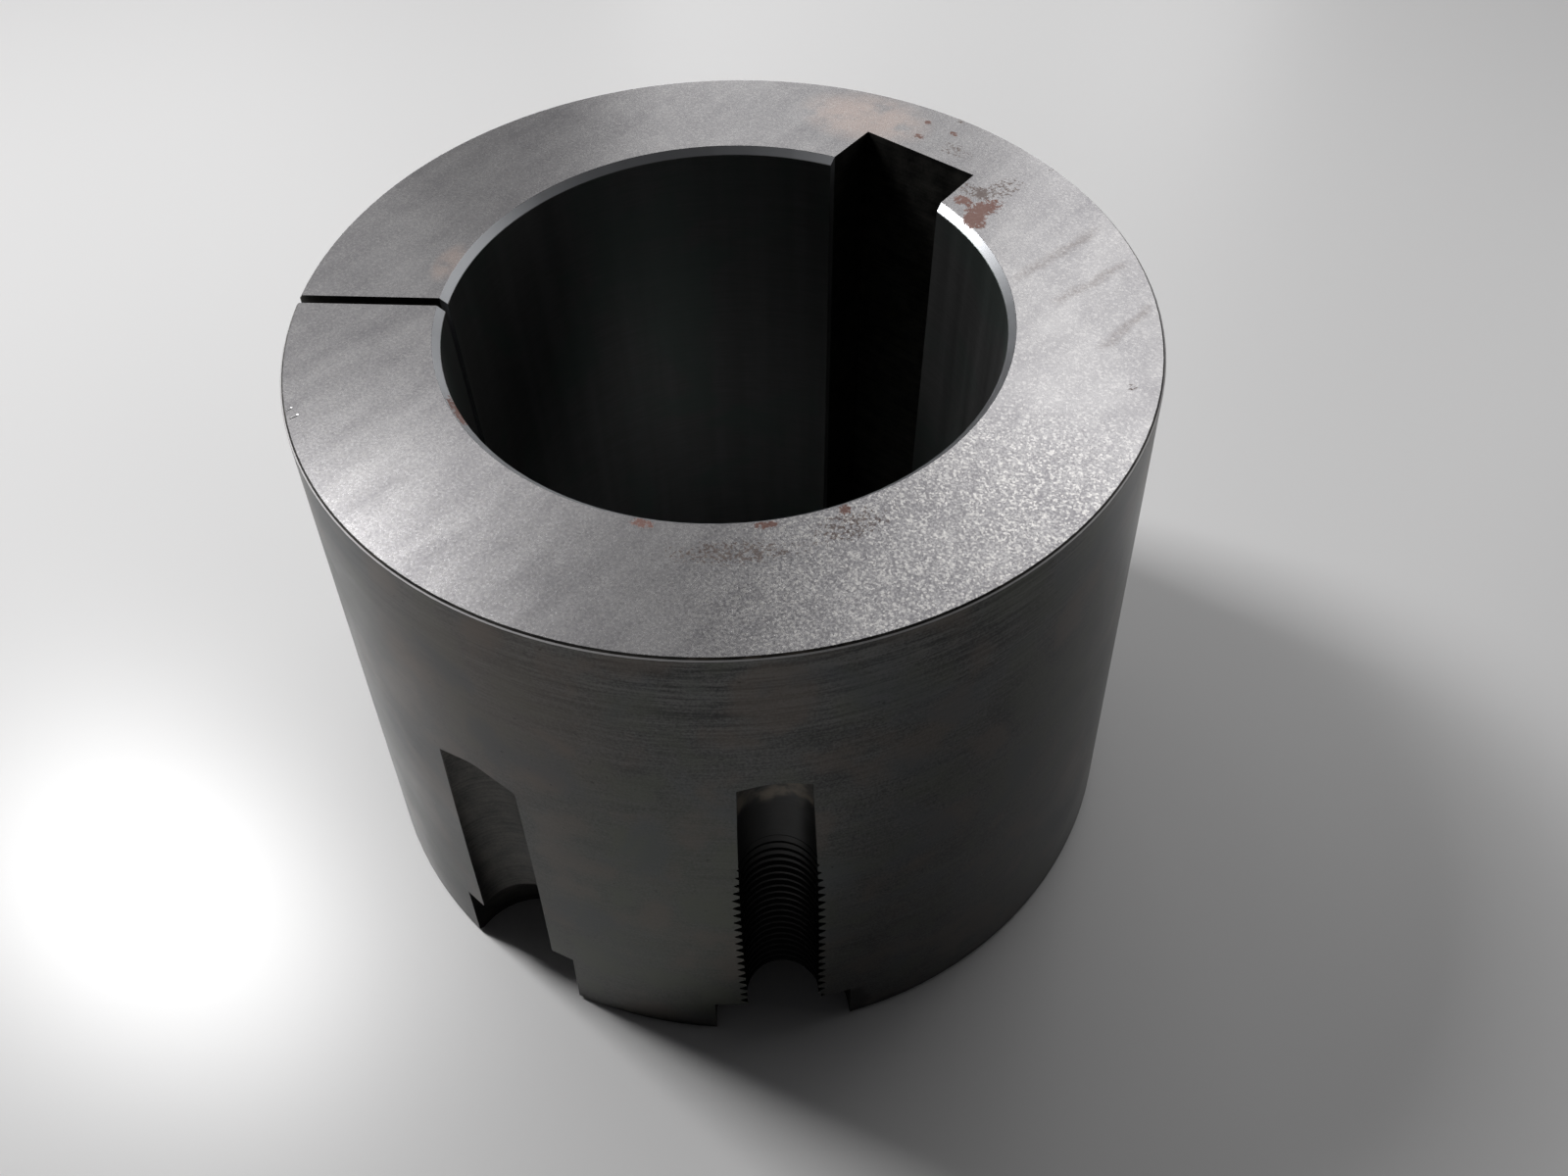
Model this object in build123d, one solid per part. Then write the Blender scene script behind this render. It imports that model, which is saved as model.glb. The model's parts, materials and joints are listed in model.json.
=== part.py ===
from build123d import *
import math
import os

# Split taper bush, one piece of machined grey iron: it is drawn into the taper bore of a
# coupling half, sprocket or pulley, closes across its slit and grips the shaft.
# Millimetres. Origin at the centre of the large end face, +Z along the bore towards the
# small end, keyway towards +Y.

# body
length = 88.9                # 3 1/2 in
large_end_diameter = 127.0   # 5 in, at the large end face
taper_half_angle = 4.0       # degrees, each side
small_end_break = 0.4        # edge break on the rim of the small end
large_end_break = 0.8        # edge break on the rim of the large end

# bore and keyway
bore_diameter = 74.6125      # 2 15/16 in
bore_chamfer = 1.0
key_width = 19.05            # 3/4 in
key_depth = 9.525            # 3/8 in, measured at the side of the keyway
key_direction = 90.0         # degrees from +X

# slit, cut from the rim into the bore
slit_width = 1.6
slit_from_key = 125.5        # degrees, anticlockwise seen from the small end

# half-holes, bored from the large end on the rim of the taper
hole_inset = 1.9             # from the large end rim in to the hole axes
seat_diameter = 20.64        # 13/16 in, for the screw heads
drill_point_angle = 135.0

# plain half-holes, where the fixing screws draw the bush in
fixing_angles = (60.0, 180.0, 300.0)   # degrees from the slit
fixing_diameter = 13.49                # 17/32 in
fixing_depth = 54.8                    # to the shoulder of the drill point
fixing_seat_depth = 12.8

# threaded half-holes, where a screw jacks the bush out again
jacking_angles = (99.0, 261.0)         # degrees from the slit
thread_diameter = 12.7                 # 1/2 in
thread_pitch = 25.4 / 13
thread_drill_diameter = 10.72          # 27/64 in
thread_root_flat = thread_pitch / 8    # across the bottom of the groove
thread_flank_angle = 30.0              # degrees, each side
thread_full_turns = 17                 # whole turns, the first of them in the open seat
thread_runout_turns = 5                # shallower turns left by the taper lead of the tap
jacking_depth = 64.7                   # to the shoulder of the drill point
jacking_seat_depth = 8.5

# worked out from the sizes above
taper_slope = math.tan(math.radians(taper_half_angle))
large_end_radius = large_end_diameter / 2
small_end_radius = large_end_radius - length * taper_slope
bore_radius = bore_diameter / 2
hole_circle_radius = large_end_radius - hole_inset
slit_direction = key_direction + slit_from_key
past = 1.0                   # how far each cutter runs past the face that it opens
thread_overlap = 0.3         # how far the groove's cutter reaches into the drilled hole
last_turn_lift = 0.075       # how far clear of the drilled wall the last shallow turn ends


def taper_body():
    """The cone between the end faces, turned with its two rim breaks."""
    # a rim break of b leaves the wall b along the axis and the face b across
    outline = Polyline(
        (0, 0),
        (large_end_radius - large_end_break, 0),
        (large_end_radius - large_end_break * taper_slope, large_end_break),
        (small_end_radius + small_end_break * taper_slope, length - small_end_break),
        (small_end_radius - small_end_break, length),
        (0, length),
        close=True,
    )
    return revolve(Plane.XZ * make_face(outline), Axis.Z)


def bore_cutter():
    """Straight bore with a chamfer at each end."""
    mouth = bore_radius + bore_chamfer + past
    throat = bore_radius
    outline = Polyline(
        (0, -past),
        (mouth, -past),
        (throat, bore_chamfer),
        (throat, length - bore_chamfer),
        (mouth, length + past),
        (0, length + past),
        close=True,
    )
    return revolve(Plane.XZ * make_face(outline), Axis.Z)


def radial_slot(width, inner, outer, direction):
    """A slot of parallel sides along the whole bush, reaching from inner to outer."""
    slot = Box(outer - inner, width, length + 2 * past, align=(Align.MIN, Align.CENTER, Align.MIN))
    return Rot(0, 0, direction) * Pos(inner, 0, -past) * slot


def keyway_cutter():
    """The keyway's depth counts from where its sides leave the bore."""
    side_height = math.sqrt(bore_radius**2 - (key_width / 2) ** 2)
    return radial_slot(key_width, 0, side_height + key_depth, key_direction)


def slit_cutter():
    return radial_slot(slit_width, 0, large_end_radius + past, slit_direction)


def drilled_hole(diameter, depth):
    """A drilled blind hole up from z = 0, with the cone that the drill leaves."""
    radius = diameter / 2
    point = radius / math.tan(math.radians(drill_point_angle / 2))
    outline = Polyline((0, -past), (radius, -past), (radius, depth), (0, depth + point), close=True)
    return revolve(Plane.XZ * make_face(outline), Axis.Z)


def screw_seat(depth):
    """The wider flat-bottomed bore that takes the head of the screw."""
    upright = (Align.CENTER, Align.CENTER, Align.MIN)
    return Pos(0, 0, -past) * Cylinder(seat_diameter / 2, depth + past, align=upright)


def swept_groove(path):
    """One stretch of thread groove, with the profile of a 60 degree thread."""
    depth = (thread_diameter - thread_drill_diameter) / 2 + thread_overlap
    root_half = thread_root_flat / 2
    mouth_half = root_half + depth * math.tan(math.radians(thread_flank_angle))
    profile = Polyline(
        (0, root_half),
        (0, -root_half),
        (-depth, -mouth_half),
        (-depth, mouth_half),
        close=True,
    )
    section = Plane(origin=path @ 0, x_dir=(1, 0, 0), z_dir=path % 0)
    return sweep(section * make_face(profile), path=path, is_frenet=True)


def thread_grooves():
    """Full turns up from below the seat's floor, then turns that rise out of the drilled wall.

    Both stretches start and end on the open side of the half-hole, away from the metal.
    """
    major = thread_diameter / 2
    rise = major - thread_drill_diameter / 2 + last_turn_lift
    lead = thread_runout_turns * thread_pitch
    full = thread_full_turns * thread_pitch
    lead_angle = math.degrees(math.atan(rise / lead))
    start = jacking_seat_depth - thread_pitch
    full_groove = swept_groove(Helix(thread_pitch, full, major))
    lead_groove = swept_groove(Helix(thread_pitch, lead, major, cone_angle=-lead_angle))
    return [Pos(0, 0, start) * full_groove, Pos(0, 0, start + full) * lead_groove]


def on_hole_circle(cutter, angle_from_slit):
    return Rot(0, 0, slit_direction + angle_from_slit) * Pos(hole_circle_radius, 0, 0) * cutter


def taper_bush():
    bush = taper_body() - bore_cutter() - keyway_cutter() - slit_cutter()
    fixing = drilled_hole(fixing_diameter, fixing_depth) + screw_seat(fixing_seat_depth)
    for angle in fixing_angles:
        bush -= on_hole_circle(fixing, angle)
    jacking = drilled_hole(thread_drill_diameter, jacking_depth) + screw_seat(jacking_seat_depth)
    grooves = thread_grooves()
    for angle in jacking_angles:
        bush -= on_hole_circle(jacking, angle)
        for groove in grooves:
            bush -= on_hole_circle(groove, angle)
    return bush


os.makedirs("parts", exist_ok=True)
export_step(taper_bush(), "parts/taper_bush.step")
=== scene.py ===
import bpy
import json
import math
from mathutils import Matrix, Vector


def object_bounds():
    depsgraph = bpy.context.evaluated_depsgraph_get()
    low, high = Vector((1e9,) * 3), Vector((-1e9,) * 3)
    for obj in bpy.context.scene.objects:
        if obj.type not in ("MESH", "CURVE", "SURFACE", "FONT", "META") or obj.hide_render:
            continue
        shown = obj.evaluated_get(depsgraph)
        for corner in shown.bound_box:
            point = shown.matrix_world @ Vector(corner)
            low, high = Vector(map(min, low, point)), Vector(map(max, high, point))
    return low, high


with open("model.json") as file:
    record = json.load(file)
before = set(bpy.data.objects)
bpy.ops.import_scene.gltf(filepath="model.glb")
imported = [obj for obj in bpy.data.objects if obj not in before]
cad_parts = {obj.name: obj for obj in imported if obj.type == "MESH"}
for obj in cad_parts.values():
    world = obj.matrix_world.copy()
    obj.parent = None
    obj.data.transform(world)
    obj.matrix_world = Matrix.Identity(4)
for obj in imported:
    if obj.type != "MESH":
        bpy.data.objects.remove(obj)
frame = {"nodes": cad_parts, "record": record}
cadLow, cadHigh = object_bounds()
perMetre = 1000          # mm in a metre
taperAngle = 4           # degrees a side
bush = frame["nodes"]["taper_bush"]
mounts = {m["name"]: m for m in frame["record"]["mounts"]}
threadedHoles = []
for number in (1, 2):
    hole = Vector(mounts[f"jacking_half_hole_{number}"]["pos_m"]) * perMetre
    threadedHoles.append((math.degrees(math.atan2(hole.y, hole.x)), hole.xy.length))
print("frame loaded, size in mm", [round(s * perMetre, 2) for s in cadHigh - cadLow])

# sizes in mm, read from the frame, that the finishes are laid out by
size = {
    "height": (cadHigh.z - cadLow.z) * perMetre,
    "rim": (cadHigh.x - cadLow.x) * perMetre / 2,       # radius at the large end
    "slope": math.tan(math.radians(taperAngle)),
    "bore": mounts["bore"]["dims"]["r_mm"],             # radius
    "chamfer": (cadHigh.z * perMetre - mounts["bore"]["dims"]["length_mm"]) / 2,
}


class Wire:
    # a shader socket; sums with it add the Math nodes
    def __init__(self, tree, socket=None):
        self.tree = tree
        self.socket = socket

    def feed(self, target, value):
        if isinstance(value, Wire):
            self.tree.links.new(value.socket, target)
        elif hasattr(target.default_value, "__len__") and hasattr(value, "__len__"):
            padded = list(value) + [1.0] * (len(target.default_value) - len(value))
            target.default_value = padded
        else:
            target.default_value = value

    def make(self, kind, settings=None, inputs=None, out=0):
        node = self.tree.nodes.new("ShaderNode" + kind)
        for name, value in (settings or {}).items():
            setattr(node, name, value)
        for name, value in (inputs or {}).items():
            self.feed(node.inputs[name], value)
        return Wire(self.tree, node.outputs[out])

    def maths(self, operation, *values):
        return self.make("Math", {"operation": operation}, dict(enumerate(values)))

    def __add__(self, other):
        return self.maths("ADD", self, other)

    def __radd__(self, other):
        return self.maths("ADD", other, self)

    def __sub__(self, other):
        return self.maths("SUBTRACT", self, other)

    def __rsub__(self, other):
        return self.maths("SUBTRACT", other, self)

    def __mul__(self, other):
        return self.maths("MULTIPLY", self, other)

    def __rmul__(self, other):
        return self.maths("MULTIPLY", other, self)

    def __truediv__(self, other):
        return self.maths("DIVIDE", self, other)

    def __pow__(self, other):
        return self.maths("POWER", self, other)

    def __gt__(self, other):
        return self.maths("GREATER_THAN", self, other)

    def __lt__(self, other):
        return self.maths("LESS_THAN", self, other)

    def __abs__(self):
        return self.maths("ABSOLUTE", self)

    def ramp(self, low, high):
        # 0 at low, 1 at high, smooth between; low may be the larger
        limits = {"Value": self, "From Min": low, "From Max": high}
        return self.make("MapRange", {"interpolation_type": "SMOOTHSTEP"}, limits)

    def mix(self, first, second):
        # first where this mask is 0, second where it is 1
        return self.make("Mix", {"data_type": "FLOAT"}, {0: self, 2: first, 3: second}, 0)

    def tint(self, first, second):
        return self.make("Mix", {"data_type": "RGBA"}, {0: self, 6: first, 7: second}, 2)

    def level(self):
        return self.make("SeparateColor", inputs={0: self})

    def vector(self, operation, *values):
        return self.make("VectorMath", {"operation": operation}, dict(enumerate(values)))


# the noises that the finishes share: how many bumps to a mm, and how the turned lines run
texture = {
    "grain": 2.9,
    "blotch": 0.33,
    "cloud": 0.07,
    "turnedPitch": 0.38,     # mm
    "turnedLength": 6.0,     # the larger, the shorter each line
}


class Place:
    # where a point lies on the bush, in mm from the middle of the large end
    def __init__(self, tree):
        self.start = Wire(tree)
        objectPlace = self.start.make("TexCoord", out="Object")
        self.point = objectPlace.vector("MULTIPLY", objectPlace, (perMetre,) * 3)
        split = self.point.make("SeparateXYZ", inputs={0: self.point})
        self.x, self.y, self.z = (Wire(tree, s) for s in split.socket.node.outputs)
        self.radius = (self.x * self.x + self.y * self.y) ** 0.5
        self.east = self.x / self.radius
        self.north = self.y / self.radius
        t = texture
        lines = self.around(t["turnedLength"], self.z / t["turnedPitch"])
        self.grain = self.noise(t["grain"], 3.0, roughness=0.65)
        self.blotch = self.noise(t["blotch"], 3.0)
        self.cloud = self.noise(t["cloud"], 4.0, distortion=0.6)
        self.turning = self.noise(1.0, 3.0, at=lines, roughness=0.7)

    def around(self, turns, across):
        # a point that changes slowly around the bush and quickly with across
        parts = {0: self.east * turns, 1: self.north * turns, 2: across}
        return self.point.make("CombineXYZ", inputs=parts)

    def stretched(self, scale):
        return self.point.vector("MULTIPLY", self.point, scale)

    def noise(self, scale, detail=2.0, at=None, roughness=0.5, distortion=0.0):
        inputs = {"Vector": at or self.point, "Scale": scale, "Detail": detail}
        inputs.update({"Roughness": roughness, "Distortion": distortion})
        return self.point.make("TexNoise", {"noise_dimensions": "3D"}, inputs)

    def cells(self, scale):
        # a random level for each small cell
        inputs = {"Vector": self.point, "Scale": scale}
        return self.point.make("TexVoronoi", {"voronoi_dimensions": "3D"}, inputs, 1).level()

    def spot(self, angle, radius, length, width):
        # 1 in the middle of an oval patch on an end face, 0 at its edge; length is outwards
        a = math.radians(angle)
        across = self.x - radius * math.cos(a)
        along = self.y - radius * math.sin(a)
        u = (across * math.cos(a) + along * math.sin(a)) / length
        v = (along * math.cos(a) - across * math.sin(a)) / width
        return (u * u + v * v).ramp(1.0, 0.0)

    def sideSpot(self, angle, rise, across, up):
        # an oval patch on the outside, rise mm above the large end
        a = math.radians(angle)
        ahead = (self.north * math.cos(a) - self.east * math.sin(a)) * size["rim"] / across
        above = (self.z - rise) / up
        facing = (self.north * math.sin(a) + self.east * math.cos(a)) > 0
        return (ahead * ahead + above * above).ramp(1.0, 0.0) * facing

    def spots(self, patches):
        return sum((self.spot(*patch) for patch in patches[1:]), self.spot(*patches[0]))

    def stroke(self, first, last, width, sway):
        # a soft line between two points, each an angle and a radius, bent by sway
        start, end = (Vector((r * math.cos(math.radians(a)), r * math.sin(math.radians(a))))
                      for a, r in (first, last))
        run = end - start
        along = ((self.x - start.x) * run.x + (self.y - start.y) * run.y) / run.length_squared
        off = ((self.x - start.x) * run.y - (self.y - start.y) * run.x) / run.length
        return abs(off + sway).ramp(width, 0.0) * abs(along - 0.5).ramp(0.5, 0.3)


endFace = {
    "dark": (0.30, 0.291, 0.305),
    "light": (0.565, 0.553, 0.555),
    # painted highlight colour for the sparkling facets
    "paintedGlint": (0.78, 0.76, 0.74),
    "warm": (0.66, 0.545, 0.50),
    "roughness": 0.27,
    "grainDepth": 0.012,     # mm
    "facet": 3.6,            # facets per mm, the brightest painted as glints
    "facetDepth": 0.003,
    "coarseAndSparkleRest": 0.35,      # how coarse the rest of the face is, and how much painted sparkle it gets
    "ringPitch": 0.45,
    "ringDepth": 0.0012,
    "contrast": {"grain": 3.0, "blotch": 0.6, "cloud": 0.9, "wipe": 0.7},
    "gloss": {"grain": 0.1, "wipe": 0.03, "facet": 0.04},    # how far each moves roughness
    "share": {"warm": 0.75, "facet": 0.7},                   # how strongly each colour shows
    "wipe": (0.32, 0.075, 0.1),    # how close the wiping streaks lie along x, y and z
    "warmPatches": [(104, 50.0, 8.0, 12.0), (-157, 39.5, 2.5, 5.0)],
    # the front-right patch is coarser and carries painted sparkle where the light catches the
    # face
    "coarseAndSparklePatches": [(-22, 50.0, 26.0, 36.0)],
}


def finishFace(place):
    s = endFace
    coarseAndSparkle = place.spots(s["coarseAndSparklePatches"]) + s["coarseAndSparkleRest"]
    grain, cloud, blotch = place.grain, place.cloud, place.blotch
    contrast, gloss, share = s["contrast"], s["gloss"], s["share"]
    facet = place.cells(s["facet"])
    wipe = place.noise(1.0, 3.0, at=place.stretched(s["wipe"]))
    ring = place.noise(1.0, 2.0, at=place.around(0.8, place.radius / s["ringPitch"]))
    # grain and blotch contrast rise in the coarse patch: real grain, strengthened as painted
    # sparkle
    tone = 0.45 + (grain - 0.5) * coarseAndSparkle * contrast["grain"]
    tone = tone + (blotch - 0.5) * coarseAndSparkle * contrast["blotch"]
    tone = tone + (cloud - 0.5) * contrast["cloud"] + (wipe - 0.5) * contrast["wipe"]
    colour = tone.tint(s["dark"], s["light"])
    warm = place.spots(s["warmPatches"]) * blotch.ramp(0.2, 0.6)
    colour = (warm * share["warm"]).tint(colour, s["warm"])
    # painted glints: the brightest facets in the coarse patch are tinted towards a bright
    # sparkle colour
    colour = (facet.ramp(0.6, 1.0) * coarseAndSparkle * share["facet"]).tint(colour, s["paintedGlint"])
    roughness = s["roughness"] + (grain - 0.5) * gloss["grain"] + (wipe - 0.5) * gloss["wipe"]
    roughness = roughness - facet * gloss["facet"]
    height = grain * coarseAndSparkle * s["grainDepth"] + facet * coarseAndSparkle * s["facetDepth"]
    return colour, roughness, height + ring * s["ringDepth"]


taperSide = {
    # dark and light are kept far darker than the end face's iron: partly the cone's duller
    # turned finish, partly painted shade for the dim light on its sides
    "dark": (0.040, 0.040, 0.040),
    "light": (0.124, 0.124, 0.120),
    "warm": (0.118, 0.099, 0.086),
    "green": (0.086, 0.092, 0.073),
    "cool": (0.074, 0.081, 0.089),
    "edge": (0.60, 0.59, 0.59),
    "edgeRoughness": 0.6,
    "edgeHeight": 0.38,      # mm of broken edge at the small end
    "roughness": 0.35,
    "lineDepth": 0.0045,
    "grainDepth": 0.003,
    "bandPitch": 1.4,
    "contrast": {"line": 1.3, "band": 0.2, "cloud": 1.2, "grain": 2.3},
    "contrastAtEnd": {"line": 2.2, "band": 0.9},             # added in the stronger lines
    "gloss": {"line": 0.15, "cloud": 0.2, "grain": 0.15},
    "share": {"brown": 0.5, "brownPatch": 0.45, "olive": 0.4, "olivePatch": 0.4,
              "cool": 0.45, "pits": 0.5, "rim": 0.85, "smudge": 0.75},
    "hueScale": 0.11,        # patches of colour per mm
    "pitScale": 1.1,
    "turnedEnd": 26,         # mm of stronger turning lines below the small end
    # this near-black colour also paints the contact shade along the bottom
    "grimeAndShade": (0.018, 0.017, 0.016),
    "bottomShadeHeight": 1.6,      # mm up from the large end that the painted shade band reaches
    "smudge": (-37, 4.0, 6.0, 6.5),        # degrees round, mm up, half width, half height
    "brownPatch": (-80, 74.0, 24.0, 24.0),
    "olivePatch": (-58, 30.0, 30.0, 45.0),
}


def finishTaper(place):
    s = taperSide
    contrast, atEnd, gloss, share = s["contrast"], s["contrastAtEnd"], s["gloss"], s["share"]
    line, cloud, grain = place.turning, place.cloud, place.grain
    band = place.noise(1.0, 2.0, at=place.around(3.0, place.z / s["bandPitch"]))
    hue = place.noise(s["hueScale"], 3.0)
    turned = place.z.ramp(size["height"] - s["turnedEnd"], size["height"])
    tone = 0.45 + (line - 0.5) * (turned * atEnd["line"] + contrast["line"])
    tone = tone + (band - 0.5) * (turned * atEnd["band"] + contrast["band"])
    tone = tone + (cloud - 0.5) * contrast["cloud"] + (grain - 0.5) * contrast["grain"]
    colour = tone.tint(s["dark"], s["light"])
    brown = hue.ramp(0.50, 0.66) * share["brown"]
    brown = brown + place.sideSpot(*s["brownPatch"]) * share["brownPatch"]
    olive = hue.ramp(0.50, 0.36) * share["olive"]
    olive = olive + place.sideSpot(*s["olivePatch"]) * share["olivePatch"]
    colour = olive.tint(colour, s["green"])
    colour = brown.tint(colour, s["warm"])
    colour = (cloud.ramp(0.52, 0.66) * share["cool"]).tint(colour, s["cool"])
    pits = place.noise(s["pitScale"], 1.0).ramp(0.74, 0.80) * share["pits"]
    uneven = place.blotch
    # painted shade: rim darkens a ragged band along the bottom where the bush stands on the
    # table
    rim = (place.z + (uneven - 0.5) * 2.5).ramp(s["bottomShadeHeight"] + 0.5, s["bottomShadeHeight"] - 0.7)
    smudge = (place.sideSpot(*s["smudge"]) + uneven - 0.8).ramp(0.0, 0.5) * share["smudge"]
    grimeAndShade = pits + rim * share["rim"] + smudge
    colour = grimeAndShade.tint(colour, s["grimeAndShade"])
    edge = place.z > size["height"] - s["edgeHeight"]
    colour = edge.tint(colour, s["edge"])
    roughness = s["roughness"] + (line - 0.5) * gloss["line"] + (cloud - 0.5) * gloss["cloud"]
    roughness = roughness + (grain - 0.5) * gloss["grain"]
    height = line * s["lineDepth"] + grain * s["grainDepth"]
    return colour, edge.mix(roughness, s["edgeRoughness"]), height


# mm of slack where one finish meets the next
zones = {"endSkin": 0.03, "taperSkin": 0.12, "boreSkin": 0.05, "markSkin": 0.2}

boreWall = {
    "dark": (0.17, 0.17, 0.17),
    "light": (0.215, 0.215, 0.215),
    "green": (0.155, 0.195, 0.18),
    "chamfer": (0.47, 0.48, 0.50),
    "roughness": 0.40,
    "lineDepth": 0.0015,
    "streakLength": 60.0,    # mm along the bore
}


def finishBore(place):
    s = boreWall
    line = place.turning
    streak = place.noise(1.0, 2.0, at=place.around(14.0, place.z / s["streakLength"]))
    colour = (line * 0.5 + streak * 0.5).ramp(0.3, 0.7).tint(s["dark"], s["light"])
    colour = (place.cloud.ramp(0.45, 0.65) * 0.6).tint(colour, s["green"])
    chamfer = place.radius > size["bore"] + zones["boreSkin"]
    colour = chamfer.tint(colour, s["chamfer"])
    return colour, s["roughness"] + (streak - 0.5) * 0.08, line * s["lineDepth"]


drilled = {
    # dark and light are kept as dark as the cone's: painted shade in these recesses
    "dark": (0.035, 0.035, 0.035),
    "light": (0.11, 0.105, 0.095),
    "roughness": 0.46,
    "arcPitch": 0.5,         # mm between the drill's feed marks
    "arcDepth": 0.006,
    "grainDepth": 0.004,
    "threadDark": (0.022, 0.022, 0.022),
    "threadDarkHeight": 57,         # mm up the threaded half-holes
    "threadDarkReach": 10.5,        # mm out from their axes
    "brownTop": (0.20, 0.17, 0.135),
}


def finishDrilled(place):
    s = drilled
    arc = place.noise(1.0, 2.0, at=place.stretched((0.12, 0.12, 1 / s["arcPitch"])))
    cloud, grain = place.blotch, place.grain
    colour = (arc * 0.3 + cloud * 0.4 + grain * 0.3).ramp(0.3, 0.7).tint(s["dark"], s["light"])
    reach = (s["threadDarkReach"], s["threadDarkReach"])
    tapped = place.spots([(*hole, *reach) for hole in threadedHoles]).ramp(0.0, 0.05)
    above = (place.z + (cloud - 0.5) * 8).ramp(s["threadDarkHeight"], s["threadDarkHeight"] + 4)
    # a lighter brown tint near the top of the threaded half-holes
    brownTop = tapped * above * cloud.ramp(0.35, 0.65)
    # the threaded half-holes are darker and a little glossier below the height above
    threadDark = tapped * (1 - above)
    colour = (threadDark * 0.9).tint(colour, s["threadDark"])
    colour = (brownTop * 0.7).tint(colour, s["brownTop"])
    height = arc * s["arcDepth"] + grain * s["grainDepth"]
    return colour, s["roughness"] + (cloud - 0.5) * 0.2 - threadDark * 0.12, height


# marks on the small end: a patch has the angle and radius of its middle and its half sizes,
# a stroke has its two ends, each an angle and a radius, and its width
stains = {
    "rust": (0.16, 0.062, 0.040),
    "rustPatches": [(69.0, 42.2, 5.0, 2.6), (66.0, 39.4, 2.4, 2.4), (73.5, 41.0, 2.0, 2.0),
                    (93, 49.3, 1.0, 1.3), (94, 53.3, 0.8, 0.9), (88.7, 52.9, 0.8, 1.2),
                    (-64.2, 38.9, 1.1, 2.4), (-43.2, 38.8, 1.0, 2.4),
                    (-29.6, 39.1, 1.3, 1.3), (-112, 37.6, 0.9, 5.0)],
    "soot": (0.100, 0.064, 0.050),
    "sootPatches": [(72, 47.5, 6.0, 3.2), (75, 43.5, 2.5, 4.0), (85.5, 49.4, 2.6, 4.6),
                    (89.8, 56.5, 0.9, 1.3), (71.4, 56.7, 0.9, 1.6), (-49, 42.6, 3.0, 12.0),
                    (20.6, 53.6, 1.0, 1.4), (-30, 41.5, 3.6, 8.0)],
    "scratches": [((45.0, 37.8), (56.5, 55.9), 1.4), ((37.6, 42.5), (48.2, 56.4), 1.2),
                  ((26.7, 48.5), (38.8, 57.0), 1.2)],
    "ding": (0.85, 0.85, 0.85),
    "dingDepth": 0.05,
    "raggedness": 2.2,       # bumps per mm on the outlines of the marks
    "dings": [((-121.0, 55.4), (-120.6, 56.6), 0.22), ((-122.6, 56.0), (-122.2, 56.8), 0.2)],
}


def addStains(place, finish):
    s = stains
    colour, roughness, height = finish
    near = place.z > size["height"] - size["chamfer"] - zones["markSkin"]
    ragged = place.noise(s["raggedness"], 4.0, roughness=0.7)
    sway = (place.blotch - 0.5) * 2.0
    soot = (ragged - 0.77 + place.spots(s["sootPatches"]) * 0.28).ramp(0.0, 0.06) * near
    rust = (ragged - 0.78 + place.spots(s["rustPatches"]) * 0.44).ramp(0.0, 0.10) * near
    scratch = place.stroke(*s["scratches"][0], sway)
    for line in s["scratches"][1:]:
        scratch = scratch + place.stroke(*line, sway)
    scratch = scratch * ragged.ramp(0.3, 0.6) * 0.36 * near
    ding = place.stroke(*s["dings"][0], 0.0) + place.stroke(*s["dings"][1], 0.0)
    colour = (soot * 0.75 + scratch).tint(colour, s["soot"])
    colour = (rust * 0.8).tint(colour, s["rust"])
    colour = (ding * 0.7).tint(colour, s["ding"])
    return colour, roughness + rust * 0.3 + soot * 0.15, height - ding * s["dingDepth"]


def blendFinish(mask, first, second):
    colour = mask.tint(first[0], second[0])
    return (colour, *(mask.mix(a, b) for a, b in zip(first[1:], second[1:])))


iron = {"metallic": 1.0, "anisotropic": 0.45, "anisotropicRotation": 0.25}


def ironMaterial():
    material = bpy.data.materials.new("machinedIron")
    material.use_nodes = True
    tree = material.node_tree
    shader = tree.nodes["Principled BSDF"]
    place = Place(tree)
    top = size["height"]
    taperRadius = size["rim"] - place.z * size["slope"]
    onTaper = (place.radius - taperRadius) > -zones["taperSkin"]
    inBore = place.radius < size["bore"] + size["chamfer"] + zones["endSkin"]
    onEnds = abs(place.z - top / 2) > top / 2 - zones["endSkin"]
    finish = finishDrilled(place)
    finish = blendFinish(onTaper, finish, finishTaper(place))
    finish = blendFinish(inBore, finish, finishBore(place))
    finish = blendFinish(onEnds, finish, finishFace(place))
    colour, roughness, height = addStains(place, finish)
    bump = {"Height": height, "Strength": 1.0, "Distance": 1 / perMetre}
    place.start.feed(shader.inputs["Base Color"], colour)
    place.start.feed(shader.inputs["Roughness"], roughness)
    place.start.feed(shader.inputs["Normal"], place.start.make("Bump", inputs=bump))
    shader.inputs["Metallic"].default_value = iron["metallic"]
    shader.inputs["Anisotropic"].default_value = iron["anisotropic"]
    shader.inputs["Anisotropic Rotation"].default_value = iron["anisotropicRotation"]
    return material


bush.data.materials.clear()
bush.data.materials.append(ironMaterial())
print("iron finished")


table = {"colour": (0.78, 0.775, 0.775), "roughness": 0.30, "reach": 2.0}     # metres


def makeTable():
    s = table
    half = s["reach"]
    mesh = bpy.data.meshes.new("tableTop")
    corners = [(-half, -half, 0), (half, -half, 0), (half, half, 0), (-half, half, 0)]
    mesh.from_pydata(corners, [], [(0, 1, 2, 3)])
    top = bpy.data.objects.new("tableTop", mesh)
    bpy.context.scene.collection.objects.link(top)
    material = bpy.data.materials.new("paleTable")
    material.use_nodes = True
    shader = material.node_tree.nodes["Principled BSDF"]
    shader.inputs["Base Color"].default_value = (*s["colour"], 1)
    shader.inputs["Roughness"].default_value = s["roughness"]
    mesh.materials.append(material)


makeTable()
print("table laid")


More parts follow.
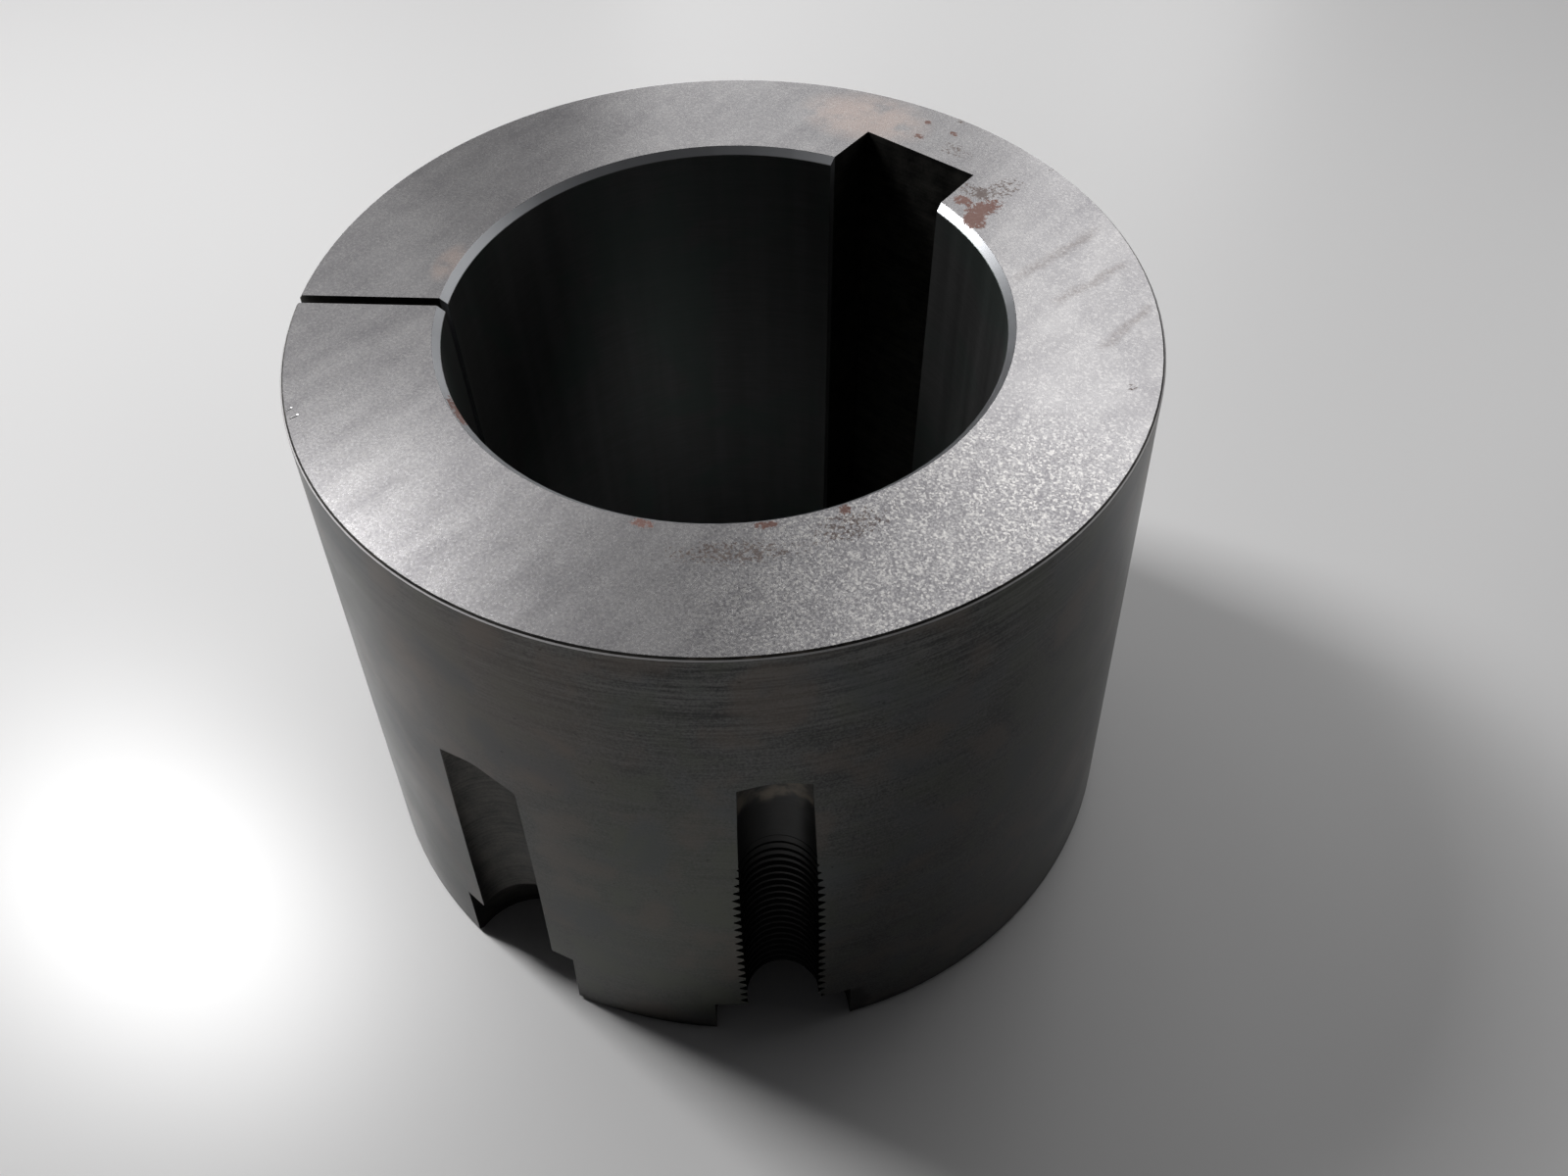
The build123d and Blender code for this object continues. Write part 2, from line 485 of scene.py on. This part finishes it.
# each lamp stands round the bush, in degrees from the camera's side, rise degrees up and far
# metres away
lamps = {
    "lamp": {"round": 238, "rise": 49, "far": 0.64, "width": 0.11, "power": 1.55},
    "lampTop": {"round": 238, "rise": 57, "far": 0.64, "width": 0.11, "power": 0.95},
    "window": {"round": 144, "rise": 35, "far": 1.1, "width": 0.6, "power": 0.92},
    "windowTop": {"round": 144, "rise": 60, "far": 1.1, "width": 0.6, "power": 0.83},
    "sill": {"round": 168, "rise": 12, "far": 1.1, "width": 0.6, "power": 1.15},
    "doorway": {"round": 168, "rise": 35, "far": 1.1, "width": 0.6, "power": 0.57},
    "backWall": {"round": 192, "rise": 35, "far": 1.1, "width": 0.6, "power": 0.27},
    "leftWall": {"round": 216, "rise": 35, "far": 1.1, "width": 0.6, "power": 0.30},
    "leftTop": {"round": 216, "rise": 60, "far": 1.1, "width": 0.6, "power": 0.36},
    "rightWall": {"round": 118, "rise": 35, "far": 1.1, "width": 0.6, "power": 0.60},
    "nearRight": {"round": 92, "rise": 12, "far": 1.1, "width": 0.6, "power": 0.62},
    "nearLeft": {"round": 250, "rise": 14, "far": 1.1, "width": 0.6, "power": 0.40},
}
room = {"colour": (0.022, 0.022, 0.023)}
view = {
    "lens": 29.52,
    "sensor": 36,            # mm wide
    "nearest": 0.005,        # metres, closer things are not drawn
    "away": 0.1740,          # metres from the middle of the small end
    "azimuth": 41.9,
    "elevation": 38.65,
}
aim = {"roll": -3.36, "tilt": -12.27, "pan": -2.644}    # degrees away from that middle


def standOff(azimuth, elevation, away):
    a, e = math.radians(azimuth), math.radians(elevation)
    return Vector((math.sin(a) * math.cos(e), -math.cos(a) * math.cos(e), math.sin(e))) * away


def makeLamp(name, s):
    light = bpy.data.lights.new(name, "AREA")
    light.shape = "SQUARE"
    light.size = s["width"]
    light.energy = s["power"]
    lamp = bpy.data.objects.new(name, light)
    place = standOff(view["azimuth"] + s["round"], s["rise"], s["far"])
    lamp.location = place
    lamp.rotation_euler = place.to_track_quat("Z", "Y").to_euler()
    bpy.context.scene.collection.objects.link(lamp)


def makeRoom():
    world = bpy.data.worlds.new("room")
    world.use_nodes = True
    world.node_tree.nodes["Background"].inputs["Color"].default_value = (*room["colour"], 1)
    bpy.context.scene.world = world


def makeCamera():
    lens = bpy.data.cameras.new("camera")
    lens.lens = view["lens"]
    lens.sensor_width = view["sensor"]
    lens.clip_start = view["nearest"]
    camera = bpy.data.objects.new("camera", lens)
    target = Vector((0, 0, cadHigh.z))
    turn = Matrix.Rotation(math.radians(view["azimuth"]), 4, "Z")
    turn @= Matrix.Rotation(math.radians(90 - view["elevation"]), 4, "X")
    turn @= Matrix.Rotation(math.radians(aim["roll"]), 4, "Z")
    turn @= Matrix.Rotation(math.radians(aim["tilt"]), 4, "X")
    turn @= Matrix.Rotation(math.radians(aim["pan"]), 4, "Y")
    place = target + standOff(view["azimuth"], view["elevation"], view["away"])
    camera.matrix_world = Matrix.Translation(place) @ turn
    bpy.context.scene.collection.objects.link(camera)
    bpy.context.scene.camera = camera


for name, settings in lamps.items():
    makeLamp(name, settings)
makeRoom()
makeCamera()
bpy.context.scene.view_settings.view_transform = "Standard"
print("lamps and camera placed")
